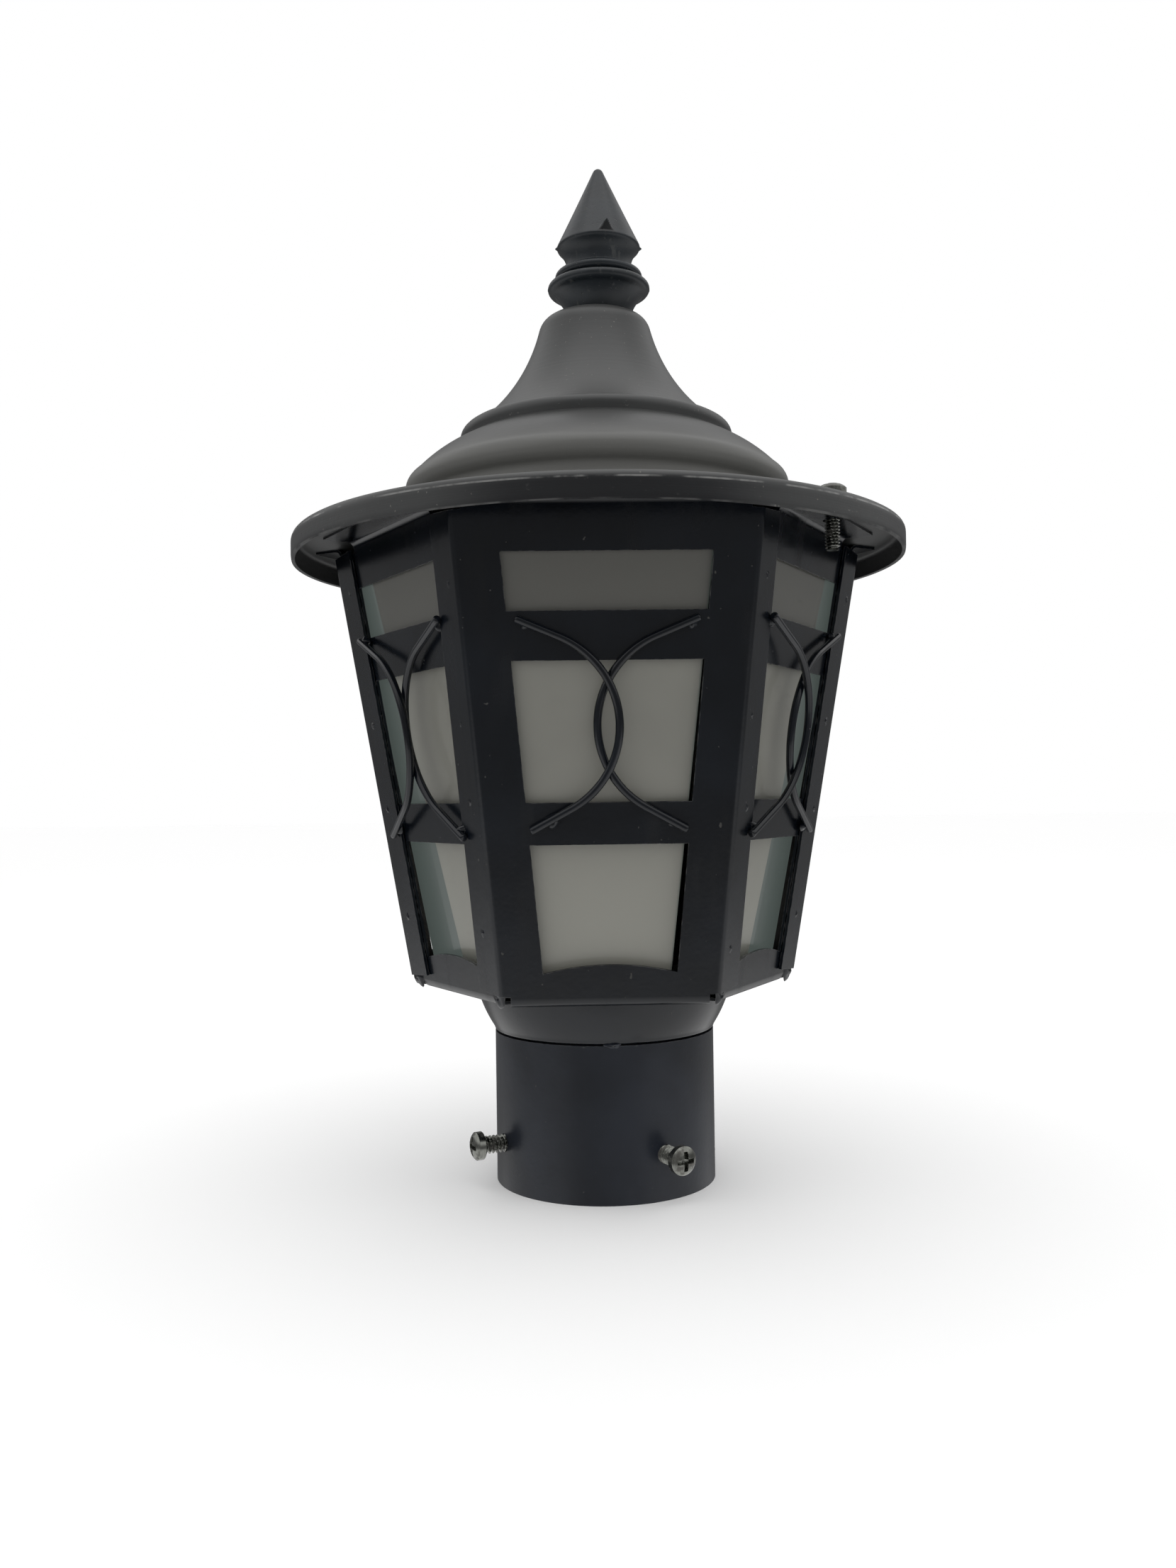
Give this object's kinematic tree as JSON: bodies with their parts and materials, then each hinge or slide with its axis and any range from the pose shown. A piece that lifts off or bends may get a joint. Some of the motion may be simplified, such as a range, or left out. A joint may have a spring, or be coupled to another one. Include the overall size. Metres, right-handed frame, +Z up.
{
  "type": "pillar lamp",
  "caption": "Six-sided pillar lantern of folded black sheet with frosted panes, bowed rods, a tiered spun roof, a finial and a clamping post sleeve.",
  "frame": {"origin": "centre of the sleeve's open lower end, on the lantern's axis", "axes": "+Z up along the axis to the finial, front panel towards -Y, +X to the right seen from the front"},
  "size_m": [0.1668, 0.1668, 0.279],
  "materials": {
    "black_paint": "semi-gloss black enamel, lightly worn",
    "roof_paint": "semi-gloss black enamel, dulled",
    "moulded_plastic": "black moulded plastic with slight flash",
    "frosted_glass": "frosted glass",
    "screw_steel": "bright plated steel",
    "zinc_sheet": "dull zinc-plated sheet",
    "holder_plastic": "black moulded lamp holder",
    "brass": "plain brass"
  },
  "bodies": {
    "lantern": {"finial": "moulded_plastic", "finial_screw": "screw_steel", "finial_washer": "screw_steel", "roof_cap": "roof_paint", "roof_screws": "screw_steel", "panel_front": "black_paint", "panel_right": "black_paint", "panel_back_right": "black_paint", "panel_back": "black_paint", "panel_back_left": "black_paint", "panel_left": "black_paint", "pane_front": "frosted_glass", "pane_right": "frosted_glass", "pane_back_right": "frosted_glass", "pane_back": "frosted_glass", "pane_back_left": "frosted_glass", "pane_left": "frosted_glass", "rod_under_front": "black_paint", "rod_under_right": "black_paint", "rod_under_back_right": "black_paint", "rod_under_back": "black_paint", "rod_under_back_left": "black_paint", "rod_under_left": "black_paint", "rod_over_front": "black_paint", "rod_over_right": "black_paint", "rod_over_back_right": "black_paint", "rod_over_back": "black_paint", "rod_over_back_left": "black_paint", "rod_over_left": "black_paint", "pane_clips": "zinc_sheet", "pane_stops": "zinc_sheet", "base_plate": "zinc_sheet", "neck_cup": "black_paint", "sleeve": "black_paint", "holder_body": "holder_plastic", "holder_shell": "brass", "holder_contact": "brass", "terminal_screws": "screw_steel", "holder_screws": "screw_steel", "holder_nuts": "screw_steel"},
    "set_screw_left": {"set_screw_left": "screw_steel"},
    "set_screw_right": {"set_screw_right": "screw_steel"}
  },
  "joints": [
    {"name": "set_screw_left_travel", "type": "slide", "parent": "lantern", "child": "set_screw_left", "axis": [-0.9205, -0.3907, 0], "range_m": [-0.0059, 0.0008]},
    {"name": "set_screw_right_travel", "type": "slide", "parent": "lantern", "child": "set_screw_right", "axis": [0.4848, -0.8746, 0], "range_m": [-0.0059, 0.0008]}
  ]
}
